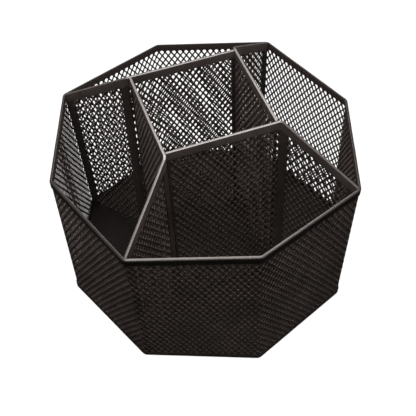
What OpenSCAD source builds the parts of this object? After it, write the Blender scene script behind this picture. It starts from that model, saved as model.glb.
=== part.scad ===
// Steel mesh desk organizer: an eight-sided basket with a taller square cell in the middle.
// Four bent mesh dividers run in from every second corner of the basket, and each of them
// turns 45 degrees to become one side of the square. The origin is at the bottom centre.

/* [Basket] */
// Width of the rim across the four corners that the dividers reach
rim_across_dividers = 160; // [150:1:175]
// Width of the rim across the four plain corners
rim_across_plain = 153; // [146:1:165]
// Width of the base across its corners
base_across = 153; // [146:1:165]
// Height of the basket wall, from the underside of the tray to the top of the rim
wall_h = 87; // [70:1:105]
// Bend radius of the wall at its eight corners
corner_r = 3; // [2:0.5:6]

/* [Dividers] */
// Side of the square cell, between the middles of its walls
cell_side = 53.5; // [44:0.5:60]
// How far a divider's bend stands out past the cell wall that is welded to it
overhang = 2.1; // [1.5:0.1:4]
// Height of the square cell, from the underside of the tray
cell_h = 113; // [108:1:130]
// Bend radius where a divider turns into the square
bend_r = 3.5; // [2:0.5:4]

/* [Sheet metal] */
// Thickness of the expanded mesh
mesh_t = 0.4; // [0.3:0.05:0.8]
// Thickness of the folded edging strips
strip_t = 0.4; // [0.3:0.05:0.6]
// Thickness of the base tray
tray_t = 0.6; // [0.5:0.1:1]
// Height of the folded strip on the basket rim
rim_band = 4.3; // [3:0.1:6]
// Height of the upturned edge of the tray
tray_band = 3.7; // [2.5:0.1:5]
// Height of the folded strip on top of a divider
divider_band = 4.6; // [3:0.1:6]
// Width of the upright strips at a divider's wall end and at its bend
upright_w = 4.5; // [3:0.1:6]
// Width of the thin strip on a divider's free edge
end_w = 1.3; // [1:0.1:3]

/* [Feet] */
// Diameter of a foot pad
pad_d = 10; // [6:1:14]
// Thickness of a foot pad
pad_h = 1; // [0.6:0.1:2]
// Distance of the foot pads from the middle
pad_at = 60; // [45:1:65]

/* [Hidden] */
// Free play between a strip and the mesh that it is folded over
slip = 0.05;
// Gap where one piece is welded against the next
weld_gap = 0.2;
// Steps round a basket corner, round the crown of a strip, and round a divider's bend
corner_steps = 5;
crown_steps = 8;
bend_steps = 8;
wall_levels = 4;
corners = 8;
divider_count = 4;
turn = 45;

// Half the thickness of the mesh, the slot of a folded strip and the strip itself
mesh_half = mesh_t / 2;
slot_half = mesh_half + slip;
band_half = slot_half + strip_t;

tray_z = pad_h;
floor_z = tray_z + tray_t;
rim_z = tray_z + wall_h;
cell_z = tray_z + cell_h;
mesh_z = floor_z + slip;

// Where the two straight parts of a divider meet, at a corner of the cell, if it runs out along +X
rim_r = rim_across_dividers / 2;
cell_corner = [cell_side + overhang, overhang] / sqrt(2);
wing = norm([rim_r, 0] - cell_corner);
// The part outside the cell leans a little to one side, so the bend turns a little more than 45 degrees
swing = atan2(cell_corner.y, rim_r - cell_corner.x);
bend_turn = turn + swing;

// A divider is laid out flat: s runs along it from the rim's outer corner to its free end
bend_x = rim_r - wing;
bend_tangent = bend_r * tan(bend_turn / 2);
bend_start = wing - bend_tangent;
bend_end = bend_start + bend_r * bend_turn * PI / 180;
bend_middle = (bend_start + bend_end) / 2;
// The free end stops just short of the next divider's side of the cell
free_end = bend_end - bend_tangent + cell_side + overhang - band_half - weld_gap;
// How much of the upright at the bend reaches on past the bend's middle
upright_past = 1.1;
// Where the top edge of a divider starts, and how steeply it climbs to the square
wing_start = 2 * band_half + weld_gap;
climb = (cell_z - rim_z) / (bend_middle - wing_start);

divider_names = [for (i = [1:divider_count]) str("divider_", i)];
divider_pieces = ["mesh", "top_rim", "wall_upright", "bend_upright", "end_upright"];

steel = "#3a3532";
mesh_steel = "#2c2826";
rubber = "#1b1b1b";

// ---- The basket's outline ----

// Radius of the outer face of the strips at corner k and height z
function outline_r(k, z) =
    let (top = (k % 2 == 0) ? rim_across_plain : rim_across_dividers)
    (base_across + (top - base_across) * (z - tray_z) / wall_h) / 2;

// Centre of the bend at corner k
function corner_at(k, z) =
    (outline_r(k, z) - band_half - corner_r) * [cos(turn * k), sin(turn * k)];

// Direction that the side between corners k and k + 1 faces
function side_faces(k, z) =
    let (a = turn * (k + 0.5), side = corner_at(k + 1, z) - corner_at(k, z))
    a - atan2(side * [cos(a), sin(a)], side * [-sin(a), cos(a)]);

// The outline at height z, moved out by off from the middle of the wall
function outline(off, z) = [
    for (k = [0:corners - 1]) for (j = [0:corner_steps])
        let (from = side_faces(k - 1, z), to = side_faces(k, z), a = from + (to - from) * j / corner_steps)
        concat(corner_at(k, z) + (corner_r + off) * [cos(a), sin(a)], z)
];

// Two triangles between places i and i2 of one row and the next one up
function between(row, row2, i, i2) = [[row + i, row2 + i, row2 + i2], [row + i, row2 + i2, row + i2]];

// Faces that close a band of n points, which go up one side of it and back down the other
function band_face(n, start, flip) = [
    for (j = [0:n / 2 - 2])
        let (quad = [j, j + 1, n - 2 - j, n - 1 - j])
        each [
            [for (i = (flip ? [2, 1, 0] : [0, 1, 2])) start + quad[i]],
            [for (i = (flip ? [3, 2, 0] : [0, 2, 3])) start + quad[i]]
        ]
];

// A section of [off, z] points carried round the outline. Open sections are closed by flat ends.
module round_outline(section, open = false) {
    rows = [for (p = section) outline(p[0], p[1])];
    n = len(rows[0]);
    m = len(rows);
    walls = [
        for (j = [0:m - (open ? 2 : 1)]) for (i = [0:n - 1])
            each between(j * n, ((j + 1) % m) * n, i, (i + 1) % n)
    ];
    ends = [[for (i = [0:n - 1]) i], [for (i = [n - 1:-1:0]) (m - 1) * n + i]];
    polyhedron([for (row = rows) each row], open ? concat(walls, ends) : walls);
}

// ---- The dividers' outline ----

// The flat place (s, w, z) after bending, with w measured from the middle of the mesh.
// The part outside the cell lies along the X axis here, before divider_place swings it over.
function bent(s, w, z) =
    let (
        a = min(max(s - bend_start, 0) * 180 / PI / bend_r, bend_turn),
        before = max(bend_start - s, 0),
        after = max(s - bend_end, 0)
    )
    [
        bend_x + bend_tangent + before - (bend_r + w) * sin(a) - after * cos(a),
        (bend_r + w) * cos(a) - bend_r - after * sin(a),
        z
    ];

// Slope and height of a divider's top edge at s
function slope_at(s) = climb * min(max((bend_end - s) / (bend_end - bend_start), 0), 1);
function top_at(s) =
    let (in_bend = min(max(s - bend_start, 0), bend_end - bend_start))
    rim_z + climb * (min(s, bend_start) - wing_start)
        + in_bend * (climb + slope_at(s)) / 2;
// Height at a distance below the top edge, measured square to the edge
function below_top(s, d) = top_at(s) - d * sqrt(1 + slope_at(s) ^ 2);

// Where the wall's inner face stands, along s, at height z
function wall_at(z) = rim_r - outline_r(1, z) + band_half + mesh_half + weld_gap;

// Places along s between from and to, with every step of the bend that lies between them
function stops(from, to) = concat(
    from,
    [for (j = [0:bend_steps]) let (s = bend_start + (bend_end - bend_start) * j / bend_steps)
        if (s > from + 0.01 && s < to - 0.01) s],
    to
);

// A solid through layers of flat [s, w, z] points, where each layer is a band
module bent_solid(layers) {
    n = len(layers[0]);
    m = len(layers);
    walls = [for (j = [0:m - 2]) for (i = [0:n - 1]) each between(j * n, (j + 1) * n, i, (i + 1) % n)];
    ends = concat(band_face(n, 0, false), band_face(n, (m - 1) * n, true));
    polyhedron([for (layer = layers) for (p = layer) bent(p[0], p[1], p[2])], concat(walls, ends));
}

// A bar of the divider from s to s2, between w and w2, from the floor to depth d below the edge
module upright_bar(s, s2, w, w2, d) {
    bent_solid([
        for (at = stops(s, s2))
            [[at, w, mesh_z], [at, w, below_top(at, d)], [at, w2, below_top(at, d)], [at, w2, mesh_z]]
    ]);
}

// One face of a folded strip as [w, depth] points: up a leg, over the crown and down the other
function folded_face(r, height) = concat(
    [[-r, height]],
    [for (j = [0:crown_steps]) let (a = 180 * j / crown_steps) [-r * cos(a), band_half - r * sin(a)]],
    [[r, height]]
);
// The whole section of a folded strip with legs of the given height
function folded_strip(height) =
    let (inside = folded_face(slot_half, height), n = len(inside))
    concat(folded_face(band_half, height), [for (i = [n - 1:-1:0]) inside[i]]);

// ---- The pieces ----

module base_tray() {
    lip = tray_z + tray_band;
    color(steel) round_outline(concat(
        [for (j = [0:3]) [band_half - tray_t * (1 - sin(30 * j)), tray_z + tray_t * (1 - cos(30 * j))]],
        [[band_half, lip], [slot_half, lip], [slot_half, floor_z]]
    ), open = true);
}

module outer_wall_mesh() {
    top = rim_z - band_half;
    up = [for (j = [0:wall_levels]) mesh_z + (top - mesh_z) * j / wall_levels];
    color(mesh_steel) round_outline(concat(
        [for (z = up) [mesh_half, z]],
        [for (j = [wall_levels:-1:0]) [-mesh_half, up[j]]]
    ));
}

module outer_rim() {
    color(steel) round_outline([for (p = folded_strip(rim_band)) [-p[0], rim_z - p[1]]]);
}

module divider_mesh() {
    edge = strip_t + slip;
    low = wall_at(mesh_z) + edge;
    high = wall_at(rim_z - divider_band) + edge + mesh_half;
    first_top = below_top(high, band_half);
    first = [[low, -mesh_half, mesh_z], [high, -mesh_half, first_top],
        [high, mesh_half, first_top], [low, mesh_half, mesh_z]];
    rest = [
        for (s = stops(bend_start, free_end - edge))
            let (top = below_top(s, band_half))
            [[s, -mesh_half, mesh_z], [s, -mesh_half, top], [s, mesh_half, top], [s, mesh_half, mesh_z]]
    ];
    color(mesh_steel) bent_solid(concat([first], rest));
}

module divider_top_rim() {
    color(steel) bent_solid([
        for (s = stops(wing_start, free_end))
            [for (p = folded_strip(divider_band)) [s, p[0], below_top(s, p[1])]]
    ]);
}

// The strip on the edge that is welded to the basket wall leans out with the wall
module divider_wall_upright() {
    depth = divider_band + slip;
    low = wall_at(mesh_z);
    high = wall_at(rim_z - divider_band);
    // The strip's plan: two legs and the web that joins them at the wall
    outside = [[upright_w, -band_half], [0, -band_half], [0, band_half], [upright_w, band_half]];
    inside = [[upright_w, slot_half], [strip_t, slot_half], [strip_t, -slot_half], [upright_w, -slot_half]];
    plan = concat(outside, inside);
    color(steel) bent_solid([
        [for (p = plan) [low + p[0], p[1], mesh_z]],
        [for (p = plan) [high + p[0], p[1], below_top(high + p[0], depth)]]
    ]);
}

// Two bars that hold the mesh between them where the divider bends
module divider_bend_upright() {
    far = bend_middle + upright_past;
    for (side = [-1, 1]) {
        low_w = min(side * slot_half, side * band_half);
        high_w = max(side * slot_half, side * band_half);
        color(steel) upright_bar(far - upright_w, far, low_w, high_w, divider_band + slip);
    }
}

// The thin strip on the free edge, which is welded to the next divider beside its bend
module divider_end_upright() {
    height = cell_z - divider_band - slip - mesh_z;
    start = free_end - end_w - bend_end;
    color(steel)
        translate(bent(bend_end, 0, mesh_z))
            rotate([0, 0, 180 + bend_turn])
                translate([start, 0, 0])
                    linear_extrude(height)
                        difference() {
                            translate([0, -band_half]) square([end_w, 2 * band_half]);
                            translate([-1, -slot_half]) square([end_w - strip_t + 1, 2 * slot_half]);
                        }
}

module divider_piece(piece) {
    if (piece == "mesh") divider_mesh();
    if (piece == "top_rim") divider_top_rim();
    if (piece == "wall_upright") divider_wall_upright();
    if (piece == "bend_upright") divider_bend_upright();
    if (piece == "end_upright") divider_end_upright();
}

// Swings a divider about its rim corner and turns it into place
module divider_place(i) {
    rotate([0, 0, 90 * i - turn]) translate([rim_r, 0, 0]) rotate([0, 0, -swing]) translate([-rim_r, 0, 0])
        children();
}

module foot_pad(i) {
    color(rubber) rotate([0, 0, 90 * i]) translate([pad_at, 0, 0]) cylinder(d = pad_d, h = pad_h, $fn = 48);
}

base_tray();
outer_wall_mesh();
outer_rim();
for (i = [1:divider_count]) for (piece = divider_pieces)
    divider_place(i) divider_piece(piece);
for (i = [1:divider_count])
    foot_pad(i);
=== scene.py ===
"""Looks of the steel mesh desk organizer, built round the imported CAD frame. Lengths are in metres."""

import math

import bpy
import numpy as np
from mathutils import Matrix, Vector


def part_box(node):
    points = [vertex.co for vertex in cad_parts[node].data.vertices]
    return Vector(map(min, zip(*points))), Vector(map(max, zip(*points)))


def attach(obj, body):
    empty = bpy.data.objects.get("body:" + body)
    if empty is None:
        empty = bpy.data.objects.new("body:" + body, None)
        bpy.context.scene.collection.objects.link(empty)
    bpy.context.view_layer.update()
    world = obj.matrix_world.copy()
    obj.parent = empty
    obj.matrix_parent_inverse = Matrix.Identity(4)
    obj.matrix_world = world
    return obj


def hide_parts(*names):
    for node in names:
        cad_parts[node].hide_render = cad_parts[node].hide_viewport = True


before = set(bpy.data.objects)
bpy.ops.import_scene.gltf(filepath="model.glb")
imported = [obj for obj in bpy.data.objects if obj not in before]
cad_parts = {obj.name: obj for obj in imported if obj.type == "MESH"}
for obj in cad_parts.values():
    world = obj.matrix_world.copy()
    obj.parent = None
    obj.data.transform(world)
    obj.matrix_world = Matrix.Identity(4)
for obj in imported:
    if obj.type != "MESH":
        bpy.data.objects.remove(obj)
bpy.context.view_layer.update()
MM = 0.001

# ---- Driving sizes, the same as the CAD's ----
SLIP = 0.05 * MM
STRIP_T = 0.4 * MM
MESH_T = 0.4 * MM
WELD_GAP = 0.2 * MM
CORNER_R = 3 * MM
BEND_R = 3.5 * MM
CELL_SIDE = 53.5 * MM
OVERHANG = 2.1 * MM
TRAY_T = 0.6 * MM
UPRIGHT_W = 4.5 * MM
UPRIGHT_PAST = 1.1 * MM
END_W = 1.3 * MM
RIM_R = 80 * MM
TURN = math.pi / 4
CORNERS = 8
DIVIDERS = 4

# Half the thickness of the mesh, of a folded strip's slot and of the strip itself
MESH_HALF = MESH_T / 2
SLOT_HALF = MESH_HALF + SLIP
BAND_HALF = SLOT_HALF + STRIP_T

# ---- Places read from the frame ----
tray_low, tray_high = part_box("base_tray")
rim_low, rim_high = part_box("outer_rim")
cell_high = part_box("divider_1_top_rim")[1]
end_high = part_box("divider_1_end_upright")[1]
TRAY_Z, LIP_Z = tray_low.z, tray_high.z
RIM_Z, CELL_Z = rim_high.z, cell_high.z
RIM_BAND = rim_high.z - rim_low.z
DIVIDER_BAND = cell_high.z - end_high.z - SLIP
PLAIN_R = rim_high.x
BASE_R = tray_high.x
WALL_H = RIM_Z - TRAY_Z
FLOOR_Z = TRAY_Z + TRAY_T
MESH_Z = FLOOR_Z + SLIP

# ---- The divider laid out flat: s runs from the rim's corner to the free end ----
CELL_CORNER = np.array([CELL_SIDE + OVERHANG, OVERHANG]) / math.sqrt(2)
WING = math.hypot(RIM_R - CELL_CORNER[0], CELL_CORNER[1])
SWING = math.atan2(CELL_CORNER[1], RIM_R - CELL_CORNER[0])
BEND_TURN = TURN + SWING
BEND_X = RIM_R - WING
BEND_TANGENT = BEND_R * math.tan(BEND_TURN / 2)
BEND_START = WING - BEND_TANGENT
BEND_END = BEND_START + BEND_R * BEND_TURN
BEND_MIDDLE = (BEND_START + BEND_END) / 2
FREE_END = BEND_END - BEND_TANGENT + CELL_SIDE + OVERHANG - BAND_HALF - WELD_GAP
WING_START = 2 * BAND_HALF + WELD_GAP
CLIMB = (CELL_Z - RIM_Z) / (BEND_MIDDLE - WING_START)

# ---- The expanded mesh ----
DIAMOND_W = 3.3 * MM
DIAMOND_H = 5.0 * MM
STRAND_W = 0.74 * MM
# How far a strand's edges stand either side of the sheet, because stretching turns the strands
STRAND_TWIST = 0.02 * MM
# How far the rounding cuts the sharp and the blunt corners off a hole, as a share of the side
SHARP_CUT = 0.07
BLUNT_CUT = 0.17
SIDE_COLUMNS = 18
WALL_ROWS = 17
# Where the wall's ends lap, in sides from corner 0, and how far, in diamonds
SEAM_AT = 3.5
SEAM_LAP = 1.35
# How far each end is pushed off the sheet's middle there, and over what length
LAP_LIFT = 0.3 * MM
LAP_RAMP = 9 * MM
# How far the lattice moves along from one divider to the next
SHEET_SHIFT = 1.1 * MM
# How far the sheet stops short inside the top strip's crown
SHEET_SHORT = 0.4 * MM

# ---- The folded strips and bars ----
# A leg is straight down to this share of its height, and its foot is drawn in to this share
LEG_STRAIGHT = 0.7
FOOT_DRAWN = 0.94
# The rim's crown is a bevel that leans outwards by this many degrees, with these edge radii
RIM_LEAN = 34
RIM_INNER_R = 0.15 * MM
RIM_OUTER_R = 0.85 * MM
RIM_SLOT_R = 0.05 * MM
RIM_SLOT_TOP = STRIP_T * 1.3
# Edge radius of a divider's crown, as a share of the strip's half thickness
CROWN_EDGE = 0.36
# Edge radius of a bend bar, as a share of its thickness
BAR_EDGE = 0.4
# How far an upright reaches up past the top strip's lower edge
HEAD_TUCK = 0.3 * MM
# How far the strips wander from true
RIM_SWAY = 0.05 * MM
TRAY_SWAY = 0.04 * MM
CROWN_SWAY = 0.05 * MM
CROWN_SAG = 0.04 * MM
UPRIGHT_SWAY = 0.03 * MM
# Share of its sideways wander that the rim or the tray also makes up and down
SWAY_RISE = 0.6
# Length at a divider crown's end over which its wander dies away
SWAY_FADE = 6 * MM

# ---- The tray's edge ----
TRAY_BEND_R = 0.5 * MM
LIP_ROUND = 0.12 * MM

# ---- How finely curves and lengths are divided ----
CORNER_STEPS = 8
SIDE_STEPS = 16
BEND_STEPS = 14
CROWN_STEPS = 16
BAR_STEPS = 12
UPRIGHT_LEVELS = 30
PAD_SIDES = 48


# ---------------------------------------------------------------- the basket's outline
def outline_r(k, z):
    """Radius of the strips' outer face at corner k and height z."""
    top = np.where(np.asarray(k) % 2 == 0, PLAIN_R, RIM_R)
    return BASE_R + (top - BASE_R) * (z - TRAY_Z) / WALL_H


def corner_at(k, z):
    """Centre of the bend at corner k, as x and y."""
    r = outline_r(k, z) - BAND_HALF - CORNER_R
    return np.stack([r * np.cos(TURN * k), r * np.sin(TURN * k)], -1)


def side_faces(k, z):
    """The direction that the side between corners k and k + 1 faces."""
    along = corner_at(k + 1, z) - corner_at(k, z)
    a = TURN * (np.asarray(k) + 0.5)
    out = along[..., 0] * np.cos(a) + along[..., 1] * np.sin(a)
    across = along[..., 1] * np.cos(a) - along[..., 0] * np.sin(a)
    return a - np.arctan2(out, across)


def on_wall(u, off, z):
    """Points on the wall: u counts sides from corner 0, and off is measured from the sheet's middle."""
    k = np.floor(u)
    start, end = corner_at(k, z), corner_at(k + 1, z)
    length = np.linalg.norm(end - start, axis=-1)
    face = side_faces(k, z)
    before = CORNER_R * ((face - side_faces(k - 1, z)) % math.tau) / 2
    after = CORNER_R * ((side_faces(k + 1, z) - face) % math.tau) / 2
    x = (u - k) * (before + length + after) - before
    angle = face + np.clip(x, None, 0) / CORNER_R + np.clip(x - length, 0, None) / CORNER_R
    along = (end - start) / length[..., None]
    centre = start + along * np.clip(x, 0, length)[..., None]
    r = (CORNER_R + off)[..., None]
    xy = centre + r * np.stack([np.cos(angle), np.sin(angle)], -1)
    return np.concatenate([xy, np.asarray(z)[..., None]], -1)


# ---------------------------------------------------------------- the dividers' outline
def bent(s, w, z):
    """The place of flat (s, w, z) on a divider that points along +X, before it is turned into place."""
    s, w, z = np.broadcast_arrays(s, w, z)
    a = np.clip((s - BEND_START) / BEND_R, 0, BEND_TURN)
    before = np.clip(BEND_START - s, 0, None)
    after = np.clip(s - BEND_END, 0, None)
    x = BEND_X + BEND_TANGENT + before - (BEND_R + w) * np.sin(a) - after * np.cos(a)
    y = (BEND_R + w) * np.cos(a) - BEND_R - after * np.sin(a)
    return np.stack([x, y, z], -1)


def turned(points, quarter):
    """A divider's points swung about its rim corner, then turned to its own corner of the rim."""
    def spin(a):
        return np.array([[math.cos(a), math.sin(a), 0], [-math.sin(a), math.cos(a), 0], [0, 0, 1]])

    hinge = np.array([RIM_R, 0, 0])
    swung = (np.asarray(points) - hinge) @ spin(-SWING) + hinge
    return swung @ spin(quarter * math.pi / 2 - TURN)


def slope_at(s):
    """Slope of the top edge, which dies away through the bend."""
    return CLIMB * np.clip((BEND_END - s) / (BEND_END - BEND_START), 0, 1)


def top_at(s):
    """Height of the top edge."""
    in_bend = np.clip(s - BEND_START, 0, BEND_END - BEND_START)
    on_wing = CLIMB * (np.minimum(s, BEND_START) - WING_START)
    return RIM_Z + on_wing + in_bend * (CLIMB + slope_at(s)) / 2


def below_top(s, depth):
    """Height at a depth below the top edge, measured square to the edge."""
    return top_at(s) - depth * np.sqrt(1 + slope_at(s) ** 2)


def wall_at(z):
    """Where the wall's inner face stands, along s."""
    return RIM_R - outline_r(1, z) + BAND_HALF + MESH_HALF + WELD_GAP


def crown_stops():
    """Places along s from end to end of a divider's top strip, close together in the bend."""
    wing = np.linspace(WING_START, BEND_START, CROWN_STEPS + 1)
    bend = np.linspace(BEND_START, BEND_END, BEND_STEPS + 1)
    side = np.linspace(BEND_END, FREE_END, CROWN_STEPS + 1)
    return np.concatenate([wing, bend[1:], side[1:]])


# ---------------------------------------------------------------- making meshes
def make_mesh(name, points, faces, sharp_deg=40):
    """A smooth closed mesh, turned right side out, with hard edges where its faces meet sharply."""
    points = np.asarray(points, float)
    volume = 0.0
    for f in faces:
        a, b, c = points[f[0]], points[list(f[1:-1])], points[list(f[2:])]
        volume += float(np.sum(np.cross(b, c) @ a))
    if volume < 0:
        faces = [tuple(reversed(f)) for f in faces]
    data = bpy.data.meshes.new(name)
    data.from_pydata(points.tolist(), [], [tuple(int(i) for i in f) for f in faces])
    data.polygons.foreach_set("use_smooth", [True] * len(data.polygons))
    data.set_sharp_from_angle(angle=math.radians(sharp_deg))
    data.update()
    piece = bpy.data.objects.new(name, data)
    bpy.context.scene.collection.objects.link(piece)
    return piece


def arc(centre, radii, start, end, steps):
    """Points on an arc of a circle or an ellipse, between two angles in degrees."""
    angles = np.radians(np.linspace(start, end, steps + 1))
    return [(centre[0] + radii[0] * math.cos(a), centre[1] + radii[1] * math.sin(a)) for a in angles]


def loft(rows, closed_rows=False):
    """Points and faces of a skin through rows of points. Each row is a closed ring."""
    n, m = len(rows[0]), len(rows)
    faces = []
    for j in range(m if closed_rows else m - 1):
        a, b = j * n, ((j + 1) % m) * n
        for i in range(n):
            after = (i + 1) % n
            faces.append((a + i, b + i, b + after, a + after))
    return [p for row in rows for p in row], faces


def flat_ends(rows):
    """One face on the first row and one on the last."""
    n = len(rows[0])
    last = (len(rows) - 1) * n
    return [tuple(range(n)), tuple(last + i for i in reversed(range(n)))]


def band_ends(rows):
    """Quads on the first and the last row, where a row goes up one side of a band and back down the other."""
    n = len(rows[0])
    last = (len(rows) - 1) * n
    quads = [(j, j + 1, n - 2 - j, n - 1 - j) for j in range(n // 2 - 1)]
    return quads + [tuple(last + i for i in reversed(q)) for q in quads]


def strip_face(crown, half, foot, height):
    """One face of a folded strip's section: up a leg, over the crown and down the other leg."""
    knee = height * LEG_STRAIGHT
    return [(-foot, height), (-half, knee)] + crown + [(half, knee), (foot, height)]


def wander(t, size, seed):
    """A slow, repeatable drift along a strip, such as hand-fed folding leaves."""
    t = np.asarray(t, float)
    wave, step = 21 * MM, 3.1
    ratios = (1.0, 0.43, 2.3)
    drift = sum(np.sin(t * math.tau / (wave * ratio) + seed * (step + ratio)) for ratio in ratios)
    return size * drift / len(ratios)


# ---------------------------------------------------------------- expanded mesh
def diamond_hole():
    """The eight corners of one hole about its middle, anticlockwise from the one right of the blunt end."""
    half_w, half_h = DIAMOND_W / 2, DIAMOND_H / 2
    inset = 1 - STRAND_W / 2 * math.hypot(half_w, half_h) / (half_w * half_h)
    right, top = np.array([half_w * inset, 0]), np.array([0, half_h * inset])
    low, high = right + (top - right) * BLUNT_CUT, top + (right - top) * SHARP_CUT
    corners = []
    for number, signs in enumerate([(1, 1), (-1, 1), (-1, -1), (1, -1)]):
        pair = [low, high] if number % 2 == 0 else [high, low]
        corners += [p * signs for p in pair]
    return np.array(corners)


def expanded_mesh(columns, rows, inside):
    """A lattice of diamond holes in its flat plane, with a corner of the plane at x = y = 0.
    columns and rows count diamonds. inside(x, y) says where strands are kept.
    Returns flat points (x, y, lift) and the polygons of the sheet's outer face."""
    hole = diamond_hole()
    lift = STRAND_TWIST * np.sign(hole[:, 0])
    number, points = {}, []
    for row in range(-2, 2 * rows + 3):
        for column in range(-2, columns + 3):
            number[(2 * column + row % 2, row)] = len(points) * len(hole)
            x = (column + (row % 2) / 2) * DIAMOND_W
            points.append(np.column_stack([x + hole[:, 0], row * DIAMOND_H / 2 + hole[:, 1], lift]))
    flat = np.concatenate(points)
    # Each corner is (columns to the right, rows up, which of the hole's eight corners)
    rising = [(0, 0, 0), (1, 1, 5), (1, 1, 4), (0, 0, 1)]
    falling = [(0, 0, 6), (1, -1, 3), (1, -1, 2), (0, 0, 7)]
    bond = [(0, 0, 7), (1, -1, 2), (1, -1, 1), (2, 0, 4), (2, 0, 3), (1, 1, 6), (1, 1, 5), (0, 0, 0)]
    faces = []
    for i, j in number:
        for shape in (rising, falling, bond):
            found = [(number.get((i + di, j + dj)), c) for di, dj, c in shape]
            if all(start is not None for start, _ in found):
                face = [start + c for start, c in found]
                if inside(*flat[face, :2].mean(0)):
                    faces.append(face)
    return flat, faces


def biggest_patch(faces):
    """The faces that hang together, without the loose scraps that cutting to an outline leaves."""
    owner = {}

    def root(i):
        while owner.setdefault(i, i) != i:
            owner[i] = owner[owner[i]]
            i = owner[i]
        return i

    for f in faces:
        for i in f[1:]:
            owner[root(i)] = root(f[0])
    roots = [root(f[0]) for f in faces]
    biggest = max(sorted(set(roots)), key=roots.count)
    return [f for f, r in zip(faces, roots) if r == biggest]


def thicken(flat, faces, place):
    """Closes a flat lattice face into a sheet. place(x, y, off) bends a flat point into space."""
    faces = biggest_patch(faces)
    keep = sorted({i for f in faces for i in f})
    renumber = {old: new for new, old in enumerate(keep)}
    faces = [[renumber[i] for i in f] for f in faces]
    flat = flat[keep]
    n = len(flat)
    front = place(flat[:, 0], flat[:, 1], flat[:, 2] + MESH_HALF)
    back = place(flat[:, 0], flat[:, 1], flat[:, 2] - MESH_HALF)
    edges = {(f[i], f[(i + 1) % len(f)]) for f in faces for i in range(len(f))}
    walls = [(b, a, a + n, b + n) for a, b in edges if (b, a) not in edges]
    backs = [[i + n for i in reversed(f)] for f in faces]
    return np.concatenate([front, back]), faces + backs + sorted(walls)


# ---------------------------------------------------------------- the basket
def wall_mesh():
    """The wall is one long strip of mesh whose ends lap over each other in the middle of a side."""
    around = CORNERS * SIDE_COLUMNS
    length = (around + SEAM_LAP) * DIAMOND_W
    height = WALL_ROWS * DIAMOND_H
    top = RIM_Z - BAND_HALF

    def inside(x, y):
        return 0 < x < length and 0 < y < height

    def place(x, y, off):
        u = SEAM_AT + (x - SEAM_LAP / 2 * DIAMOND_W) / (SIDE_COLUMNS * DIAMOND_W)
        z = MESH_Z + y / height * (top - MESH_Z)
        near_start = np.clip(1 - x / LAP_RAMP, 0, 1)
        near_end = np.clip(1 - (length - x) / LAP_RAMP, 0, 1)
        lapped = LAP_LIFT * (np.sqrt(near_start) - np.sqrt(near_end))
        return on_wall(u, off + lapped, z)

    flat, faces = expanded_mesh(around + 2, WALL_ROWS, inside)
    return make_mesh("wall_mesh", *thicken(flat, faces, place), sharp_deg=180)


def around_outline(section, sway):
    """Rows that carry each [off, z] point of a section round the outline, swaying along the sides."""
    rows = []
    for off, z in section:
        points = []
        r = CORNER_R + off
        for k in range(CORNERS):
            centre = corner_at(k, z)
            end = side_faces(k, z)
            for a in np.linspace(side_faces(k - 1, z), end, CORNER_STEPS + 1):
                points.append([centre[0] + r * np.cos(a), centre[1] + r * np.sin(a), z])
            along = corner_at(k + 1, z) - centre
            length = np.linalg.norm(along)
            outward = np.array([np.cos(end), np.sin(end)])
            for t in np.linspace(0, 1, SIDE_STEPS + 2)[1:-1]:
                fade = math.sin(math.pi * t)
                xy = centre + along * t + outward * (r + fade * wander(t * length, sway, k + 1))
                points.append([xy[0], xy[1], z + fade * wander(t * length, sway * SWAY_RISE, k + 9)])
        rows.append(points)
    return rows


def leaning_crown(half, top, inner_r, outer_r):
    """The rim strip's bevel as [off, depth], from its inner edge to its outer one."""
    lean = math.radians(RIM_LEAN)
    fall = 2 * half * math.tan(lean)
    reach = inner_r * (1 + math.sin(lean)) / math.cos(lean)
    dip = outer_r * (1 - math.sin(lean)) / math.cos(lean)
    inner = arc((inner_r - half, top + reach), (inner_r, -inner_r), 180, 90 - RIM_LEAN, steps=5)
    outer = arc((half - outer_r, top + fall + dip), (outer_r, -outer_r), 90 - RIM_LEAN, 0, steps=5)
    return inner + outer


def rim_strip():
    """The folded strip over the wall's top edge."""
    crown = leaning_crown(BAND_HALF, 0, RIM_INNER_R, RIM_OUTER_R)
    slot = leaning_crown(SLOT_HALF, RIM_SLOT_TOP, RIM_SLOT_R, RIM_SLOT_R)
    section = strip_face(crown, BAND_HALF, BAND_HALF * FOOT_DRAWN, RIM_BAND)
    section += strip_face(slot, SLOT_HALF, SLOT_HALF, RIM_BAND)[::-1]
    rows = around_outline([(off, RIM_Z - depth) for off, depth in section], RIM_SWAY)
    return make_mesh("rim_strip", *loft(rows, closed_rows=True))


def tray():
    """The base plate, whose edge is turned up round the foot of the wall."""
    outer_r = TRAY_T + TRAY_BEND_R
    middle, half = (BAND_HALF + SLOT_HALF) / 2, (BAND_HALF - SLOT_HALF) / 2
    halfway = (TRAY_Z + LIP_Z) / 2
    section = arc((BAND_HALF - outer_r, TRAY_Z + outer_r), (outer_r, outer_r), -90, 0, steps=8)
    section.append((BAND_HALF, halfway))
    section += arc((middle, LIP_Z - LIP_ROUND), (half, LIP_ROUND), 0, 180, steps=6)
    section.append((SLOT_HALF, halfway))
    inner_r = TRAY_BEND_R
    section += arc((SLOT_HALF - inner_r, FLOOR_Z + inner_r), (inner_r, inner_r), 0, -90, steps=5)
    rows = around_outline(section, TRAY_SWAY)
    points, faces = loft(rows)
    return make_mesh("tray", points, faces + flat_ends(rows))


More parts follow.
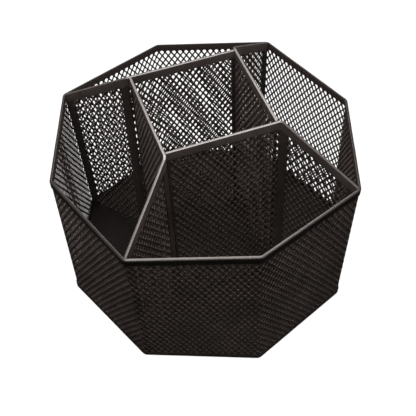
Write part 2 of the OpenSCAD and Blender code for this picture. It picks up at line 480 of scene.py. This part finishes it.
# ---------------------------------------------------------------- the dividers
def divider_sheet(quarter):
    """The bent sheet of mesh, cut to the wall, to the free end and to the sloping top."""
    edge = STRIP_T + SLIP
    shift = quarter * SHEET_SHIFT
    columns = int(FREE_END / DIAMOND_W) + 2
    rows = int((CELL_Z - MESH_Z) / DIAMOND_H) + 2

    def inside(x, y):
        s, z = x - shift, MESH_Z + y
        between = wall_at(z) + edge < s < FREE_END - edge
        return between and 0 < y and z < below_top(s, BAND_HALF + SHEET_SHORT)

    def place(x, y, off):
        return turned(bent(x - shift, off, MESH_Z + y), quarter)

    flat, faces = expanded_mesh(columns, rows, inside)
    return make_mesh(f"divider_{quarter}_sheet", *thicken(flat, faces, place), sharp_deg=180)


def flat_crown(half):
    """A divider's crown as [w, depth]: a fold pressed nearly flat on top."""
    r = half * CROWN_EDGE
    left = arc((r - half, r + BAND_HALF - half), (r, -r), 180, 90, steps=5)
    return left + [(-w, depth) for w, depth in reversed(left)]


def divider_crown(quarter):
    """The folded strip on a divider's top edge, which climbs, turns and runs level."""
    section = strip_face(flat_crown(BAND_HALF), BAND_HALF, BAND_HALF * FOOT_DRAWN, DIVIDER_BAND)
    section += strip_face(flat_crown(SLOT_HALF), SLOT_HALF, SLOT_HALF, DIVIDER_BAND)[::-1]
    rows = []
    for s in crown_stops():
        fade = np.clip(min(s - WING_START, FREE_END - s) / SWAY_FADE, 0, 1)
        sway = fade * wander(s, CROWN_SWAY, quarter)
        sag = fade * wander(s, CROWN_SAG, quarter + 5)
        rows.append([bent(s, w + sway, below_top(s, depth) - sag) for w, depth in section])
    points, faces = loft(rows)
    return make_mesh(f"divider_{quarter}_crown", turned(points, quarter), faces + band_ends(rows))


def standing(plan, foot_s, head_s, seed):
    """Rows that carry a plan of [s, w] points up from the floor into the top strip."""
    rows = []
    for t in np.linspace(0, 1, UPRIGHT_LEVELS):
        row = []
        for along, w in plan:
            s = foot_s + (head_s - foot_s) * t + along
            z = MESH_Z + t * (below_top(s, DIVIDER_BAND - HEAD_TUCK) - MESH_Z)
            row.append(bent(s, w + math.sin(math.pi * t) * wander(z, UPRIGHT_SWAY, seed), z))
        rows.append(row)
    return rows


def bar_plan(low_w, high_w):
    """Plan of a bend bar as [s, w] about its own middle, with rounded edges."""
    r = (high_w - low_w) * BAR_EDGE
    reach = UPRIGHT_W / 2 - r
    left = arc((-reach, low_w + r), (r, r), -90, -180, steps=3)
    left += arc((-reach, high_w - r), (r, r), 180, 90, steps=3)
    right = [(-s, w) for s, w in reversed(left)]
    spread = np.linspace(-reach, reach, BAR_STEPS + 1)[1:-1]
    return left + [(s, high_w) for s in spread] + right + [(s, low_w) for s in reversed(spread)]


def bend_bars(quarter):
    """Two bars either side of the mesh where it bends, spot welded together through it."""
    middle = BEND_MIDDLE + UPRIGHT_PAST - UPRIGHT_W / 2
    pieces = []
    for side, word in ((-1, "inner"), (1, "outer")):
        plan = bar_plan(*sorted((side * SLOT_HALF, side * BAND_HALF)))
        rows = standing(plan, middle, middle, quarter + side)
        points, faces = loft(rows)
        name = f"divider_{quarter}_bend_bar_{word}"
        pieces.append(make_mesh(name, turned(points, quarter), faces + flat_ends(rows)))
    return pieces


def channel(width, toward):
    """Plan of a strip folded round an upright edge as [s, w], with its fold at s = 0.
    toward is 1 where the strip opens towards greater s, and -1 where it opens the other way."""
    def face(r, back):
        return [(width, -r)] + arc((r + back, 0), (r, r), -90, -270, steps=8) + [(width, r)]

    plan = face(BAND_HALF, 0) + face(SLOT_HALF, STRIP_T)[::-1]
    return [(toward * s, toward * w) for s, w in plan]


def edge_strip(name, quarter, foot_s, head_s, toward, width):
    """A folded strip on an upright edge of a divider. foot_s and head_s place its fold along s."""
    rows = standing(channel(width, toward), foot_s, head_s, quarter + 3 * toward)
    points, faces = loft(rows)
    return make_mesh(name, turned(points, quarter), faces + band_ends(rows))


def wall_strip(quarter):
    """The strip on the edge at the wall, which leans as the wall does."""
    foot, head = wall_at(MESH_Z), wall_at(RIM_Z - DIVIDER_BAND)
    return edge_strip(f"divider_{quarter}_wall_strip", quarter, foot, head, 1, UPRIGHT_W)


def end_strip(quarter):
    """The thin strip on the free edge."""
    return edge_strip(f"divider_{quarter}_end_strip", quarter, FREE_END, FREE_END, -1, END_W)


def foot_pad(number):
    """A low rubber pad with a rounded edge and a shallow dish underneath."""
    low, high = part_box(f"foot_pad_{number}")
    centre, r, h = (low + high) / 2, (high.x - low.x) / 2, high.z - low.z
    edge, dish = h * 0.35, h * 0.22
    profile = [(r * 0.4, h), (r * 0.8, h)]
    profile += arc((r - edge, h - edge), (edge, edge), 90, 0, steps=4)
    profile += arc((r - edge, edge), (edge, edge), 0, -90, steps=4)
    profile += [(r * 0.75, 0), (r * 0.6, h * 0.2), (r * 0.3, dish)]
    rows = []
    for out, z in profile:
        ring = arc((centre.x, centre.y), (out, out), 0, 360, steps=PAD_SIDES)[:-1]
        rows.append([(x, y, low.z + z) for x, y in ring])
    points, faces = loft(rows)
    last = len(points) - PAD_SIDES
    top, bottom = len(points), len(points) + 1
    points += [(centre.x, centre.y, high.z), (centre.x, centre.y, low.z + dish)]
    for i in range(PAD_SIDES):
        after = (i + 1) % PAD_SIDES
        faces += [(top, i, after), (last + after, last + i, bottom)]
    return make_mesh(f"pad_{number}", points, faces, sharp_deg=60)


# ---------------------------------------------------------------- materials
RELIEF_HEIGHT = 0.05 * MM
# How much paler the specks in the paint are than its light tone
SPECK_GAIN = 2.2
# How far below and above its usual roughness the paint goes
GLOSSIER = 0.06
DULLER = 0.08


def nodes_of(name):
    """A new material with its node tree and its shader."""
    material = bpy.data.materials.new(name)
    material.use_nodes = True
    tree = material.node_tree
    return material, tree, tree.nodes["Principled BSDF"]


def coordinates(tree):
    """The tree's one node of texture coordinates."""
    return tree.nodes.get("Texture Coordinate") or tree.nodes.new("ShaderNodeTexCoord")


def noise(tree, scale, detail=3.0, roughness=0.5):
    """Noise in the object's own coordinates, where scale is in waves per metre."""
    node = tree.nodes.new("ShaderNodeTexNoise")
    node.inputs["Scale"].default_value = scale
    node.inputs["Detail"].default_value = detail
    node.inputs["Roughness"].default_value = roughness
    tree.links.new(coordinates(tree).outputs["Object"], node.inputs["Vector"])
    return node.outputs["Fac"]


def remap(tree, value, low, high, out_low=0.0, out_high=1.0):
    """A value stretched from one range to another, and clamped to it."""
    node = tree.nodes.new("ShaderNodeMapRange")
    for key, number in zip(("From Min", "From Max", "To Min", "To Max"), (low, high, out_low, out_high)):
        node.inputs[key].default_value = number
    tree.links.new(value, node.inputs["Value"])
    return node.outputs["Result"]


def mix_colour(tree, factor, first, second):
    """The first colour where the factor is 0 and the second where it is 1."""
    node = tree.nodes.new("ShaderNodeMix")
    node.data_type = "RGBA"
    tree.links.new(factor, node.inputs["Factor"])
    for socket, value in (("A", first), ("B", second)):
        target = [s for s in node.inputs if s.name == socket and s.type == "RGBA"][0]
        if isinstance(value, tuple):
            target.default_value = (*value, 1)
        else:
            tree.links.new(value, target)
    return [s for s in node.outputs if s.type == "RGBA"][0]


def paint_light_on_inner_faces(tree, colour, inner):
    """Painted light: another colour on the faces that look towards the object's middle."""
    outward = tree.nodes.new("ShaderNodeVectorMath")
    outward.operation = "DOT_PRODUCT"
    tree.links.new(coordinates(tree).outputs["Normal"], outward.inputs[0])
    tree.links.new(coordinates(tree).outputs["Object"], outward.inputs[1])
    share = remap(tree, outward.outputs["Value"], low=-0.03, high=0.01, out_low=1.0, out_high=0.0)
    return mix_colour(tree, share, colour, inner)


def paint_light_and_shade_on_tops(tree, colour, top, least):
    """Painted light and shade: another colour on the faces that look up, in uneven patches. least is its
    smallest share there.
    """
    facing = tree.nodes.new("ShaderNodeNewGeometry")
    split = tree.nodes.new("ShaderNodeSeparateXYZ")
    tree.links.new(facing.outputs["Normal"], split.inputs[0])
    looks_up = remap(tree, split.outputs["Z"], low=0.55, high=0.95)
    patches = noise(tree, scale=220.0, detail=5.0, roughness=0.65)
    patches = remap(tree, patches, low=0.38, high=0.6, out_low=least)
    share = tree.nodes.new("ShaderNodeMath")
    share.operation = "MULTIPLY"
    tree.links.new(looks_up, share.inputs[0])
    tree.links.new(patches, share.inputs[1])
    return mix_colour(tree, share.outputs[0], colour, top)


def relief(tree, shader, strength, scale, detail):
    """Fine bumps in the surface, where scale is in waves per metre."""
    bump = tree.nodes.new("ShaderNodeBump")
    bump.inputs["Strength"].default_value = strength
    bump.inputs["Distance"].default_value = RELIEF_HEIGHT
    tree.links.new(noise(tree, scale, detail), bump.inputs["Height"])
    tree.links.new(bump.outputs["Normal"], shader.inputs["Normal"])


def powder_coat(name, dark, light, rough, peel, shine, inner=None, top=None, least=1.0):
    """Baked black paint with slight orange peel and uneven tone and gloss.
    inner and top are painted light and shade: the colours of faces that look towards the middle and up, where
    they differ."""
    material, tree, shader = nodes_of(name)
    shader.inputs["Specular IOR Level"].default_value = shine
    shader.inputs["Specular Tint"].default_value = (1.0, 0.93, 0.9, 1)
    tone = remap(tree, noise(tree, scale=60.0, detail=4.0), low=0.35, high=0.68)
    colour = mix_colour(tree, tone, dark, light)
    speck = remap(tree, noise(tree, scale=900.0, detail=2.0), low=0.62, high=0.74, out_high=0.5)
    colour = mix_colour(tree, speck, colour, tuple(c * SPECK_GAIN for c in light))
    # Painted light on the inner faces, and painted light and shade on the faces that look up
    if inner:
        colour = paint_light_on_inner_faces(tree, colour, inner)
    if top:
        colour = paint_light_and_shade_on_tops(tree, colour, top, least)
    tree.links.new(colour, shader.inputs["Base Color"])
    gloss = noise(tree, scale=140.0, detail=4.0)
    gloss = remap(tree, gloss, low=0.3, high=0.7, out_low=rough - GLOSSIER, out_high=rough + DULLER)
    tree.links.new(gloss, shader.inputs["Roughness"])
    relief(tree, shader, peel, scale=1400.0, detail=3.0)
    return material


def mesh_coat():
    """Brown-black paint on the expanded mesh."""
    return powder_coat(
        "mesh_coat", dark=(0.0140, 0.0100, 0.0086), light=(0.0240, 0.0174, 0.0151),
        rough=0.44, peel=0.25, shine=0.36,
    )


def rim_coat_painted_light_and_shade():
    """The rim strip, darkest on its outer face, which is painted shade; its paler inner faces and tops are
    painted light.
    """
    return powder_coat(
        "rim_coat_painted_light_and_shade", dark=(0.0022, 0.0016, 0.0013), light=(0.0042, 0.0031, 0.0026),
        rough=0.27, peel=0.1, shine=0.5,
        # Painted light: paler colours on the inner faces and on the faces that look up
        inner=(0.024, 0.0185, 0.0165), top=(0.012, 0.009, 0.008), least=0.8,
    )


def crown_coat_painted_light_and_shade():
    """The dividers' top strips, the palest and glossiest; the paleness is painted light and their slightly
    darker tops are painted shade.
    """
    return powder_coat(
        # Painted light: tones paler than the rest of the paint
        "crown_coat_painted_light_and_shade", dark=(0.0265, 0.0205, 0.0183), light=(0.0420, 0.0335, 0.0305),
        rough=0.30, peel=0.1, shine=0.85,
        # Painted shade: a slightly darker colour on the faces that look up
        top=(0.025, 0.021, 0.019), least=0.8,
    )


def upright_coat():
    """The bars and strips that stand on the tray."""
    return powder_coat(
        "upright_coat", dark=(0.0135, 0.0100, 0.0086), light=(0.0220, 0.0168, 0.0148),
        rough=0.40, peel=0.35, shine=0.35,
    )


def tray_coat_painted_shade():
    """The tray, whose floor is darker and duller than its edge; the darker floor is painted shade."""
    return powder_coat(
        "tray_coat_painted_shade", dark=(0.0092, 0.0068, 0.0058), light=(0.0158, 0.0118, 0.0102),
        rough=0.55, peel=0.3, shine=0.08,
        # Painted shade: a near-black colour on the faces that look up, which is the tray's floor
        top=(0.0014, 0.0007, 0.0004), least=0.9,
    )


def pad_rubber():
    """Dull black rubber."""
    material, tree, shader = nodes_of("pad_rubber")
    tone = remap(tree, noise(tree, scale=300.0, detail=4.0), low=0.3, high=0.7)
    colour = mix_colour(tree, tone, (0.012, 0.012, 0.013), (0.03, 0.03, 0.031))
    tree.links.new(colour, shader.inputs["Base Color"])
    gloss = remap(tree, noise(tree, scale=700.0), low=0.3, high=0.7, out_low=0.7, out_high=0.88)
    tree.links.new(gloss, shader.inputs["Roughness"])
    relief(tree, shader, strength=0.4, scale=2500.0, detail=2.0)
    return material


# ---------------------------------------------------------------- assembly
MESH_COAT = mesh_coat()
RIM_COAT_PAINTED_LIGHT_AND_SHADE = rim_coat_painted_light_and_shade()
CROWN_COAT_PAINTED_LIGHT_AND_SHADE = crown_coat_painted_light_and_shade()
UPRIGHT_COAT = upright_coat()
TRAY_COAT_PAINTED_SHADE = tray_coat_painted_shade()
RUBBER = pad_rubber()


def fit_out(piece, material, slot, *replaced):
    """Gives a piece its material, fixes it to the body and says which CAD nodes it replaces. slot is not
    used.
    """
    piece.data.materials.append(material)
    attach(piece, "root")
    if replaced:
        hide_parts(*replaced)


fit_out(wall_mesh(), MESH_COAT, "coated_mesh", "outer_wall_mesh")
fit_out(rim_strip(), RIM_COAT_PAINTED_LIGHT_AND_SHADE, "coated_edging", "outer_rim")
fit_out(tray(), TRAY_COAT_PAINTED_SHADE, "coated_tray", "base_tray")
for number in range(1, DIVIDERS + 1):
    node = f"divider_{number}_"
    fit_out(divider_sheet(number), MESH_COAT, "coated_mesh", node + "mesh")
    fit_out(divider_crown(number), CROWN_COAT_PAINTED_LIGHT_AND_SHADE, "coated_edging", node + "top_rim")
    inner_bar, outer_bar = bend_bars(number)
    fit_out(inner_bar, UPRIGHT_COAT, "coated_edging", node + "bend_upright")
    fit_out(outer_bar, UPRIGHT_COAT, "coated_edging")
    fit_out(wall_strip(number), UPRIGHT_COAT, "coated_edging", node + "wall_upright")
    fit_out(end_strip(number), UPRIGHT_COAT, "coated_edging", node + "end_upright")
    fit_out(foot_pad(number), RUBBER, "pad_rubber", f"foot_pad_{number}")


# ---------------------------------------------------------------- studio
def stage_piece(name, points, faces, material):
    """Part of the studio that puts no reflection or bounce light on the object."""
    data = bpy.data.meshes.new(name)
    data.from_pydata(points, [], faces)
    data.materials.append(material)
    piece = bpy.data.objects.new(name, data)
    bpy.context.scene.collection.objects.link(piece)
    piece.visible_glossy = False
    piece.visible_diffuse = False
    return piece


def studio_white():
    """An almost wholly self-lit white, which keeps the surround plain."""
    material, tree, shader = nodes_of("studio_floor")
    tone = remap(tree, noise(tree, scale=3.0), low=0.3, high=0.7)
    colour = mix_colour(tree, tone, (0.040, 0.040, 0.040), (0.046, 0.046, 0.046))
    tree.links.new(colour, shader.inputs["Base Color"])
    shader.inputs["Emission Color"].default_value = (1, 1, 1, 1)
    shader.inputs["Emission Strength"].default_value = 0.95
    shader.inputs["Roughness"].default_value = 0.9
    shader.inputs["Specular IOR Level"].default_value = 0.1
    return material


def studio_floor():
    """A square floor, and a backdrop on all its sides that light passes through."""
    half, high = 7.0, 5.0
    white = studio_white()
    low_ring = [(-half, -half, 0), (half, -half, 0), (half, half, 0), (-half, half, 0)]
    high_ring = [(x, y, high) for x, y, _ in low_ring]
    walls = [(i, 4 + i, 4 + (i + 1) % 4, (i + 1) % 4) for i in range(4)]
    stage_piece("studio_floor", low_ring, [(0, 1, 2, 3)], white)
    backdrop = stage_piece("studio_backdrop", low_ring + high_ring, walls, white)
    backdrop.visible_shadow = False


def overhead_light():
    """One soft box that looks straight down. Its radiance is even, and its sizes are in metres."""
    width, depth, radiance = 1.4, 1.5, 9.0
    light = bpy.data.lights.new("overhead", "AREA")
    light.shape = "RECTANGLE"
    light.size, light.size_y = width, depth
    light.energy = radiance * math.pi * width * depth
    lamp = bpy.data.objects.new("overhead", light)
    bpy.context.scene.collection.objects.link(lamp)
    lamp.location = (0.05, 0.1, 1.0)
    lamp.rotation_euler = Vector((0, 0, -1)).to_track_quat("-Z", "Y").to_euler()


def studio_sky(low, horizon, high):
    """A plain grey surround that is dark below the horizon and brightens upwards."""
    world = bpy.data.worlds.new("studio_sky")
    bpy.context.scene.world = world
    world.use_nodes = True
    tree = world.node_tree
    split = tree.nodes.new("ShaderNodeSeparateXYZ")
    ramp = tree.nodes.new("ShaderNodeValToRGB")
    tree.links.new(coordinates(tree).outputs["Generated"], split.inputs[0])
    tree.links.new(remap(tree, split.outputs["Z"], low=-1.0, high=1.0), ramp.inputs["Fac"])
    greys = ((0.0, low), (0.25, low), (0.42, horizon), (1.0, high))
    for number, (position, value) in enumerate(greys):
        given = number < 2
        stop = ramp.color_ramp.elements[number] if given else ramp.color_ramp.elements.new(position)
        stop.position = position
        stop.color = (value, value, value, 1)
    tree.links.new(ramp.outputs["Color"], tree.nodes["Background"].inputs["Color"])


def camera(azimuth, elevation, roll, distance, target, lens):
    """The viewpoint: azimuth 0 looks along +Y, the angles are in degrees and the lens in mm."""
    a, e, r = (math.radians(v) for v in (azimuth, elevation, roll))
    right = Vector((math.cos(a), math.sin(a), 0))
    back = Vector((math.sin(a) * math.cos(e), -math.cos(a) * math.cos(e), math.sin(e)))
    up = back.cross(right)
    across = right * math.cos(r) + up * math.sin(r)
    upward = up * math.cos(r) - right * math.sin(r)
    data = bpy.data.cameras.new("camera")
    data.sensor_width = 36
    data.lens = lens
    eye = bpy.data.objects.new("camera", data)
    bpy.context.scene.collection.objects.link(eye)
    turn = Matrix((across, upward, back)).transposed().to_4x4()
    eye.matrix_world = Matrix.Translation(Vector(target) + back * distance) @ turn
    bpy.context.scene.camera = eye


studio_floor()
studio_sky(low=0.02, horizon=0.25, high=0.6)
overhead_light()
camera(
    azimuth=-17.3, elevation=50.4, roll=-2.85, distance=0.4378,
    target=(-1.04 * MM, -5.01 * MM, 41.0 * MM), lens=72.26,
)
bpy.context.scene.view_settings.view_transform = "Standard"
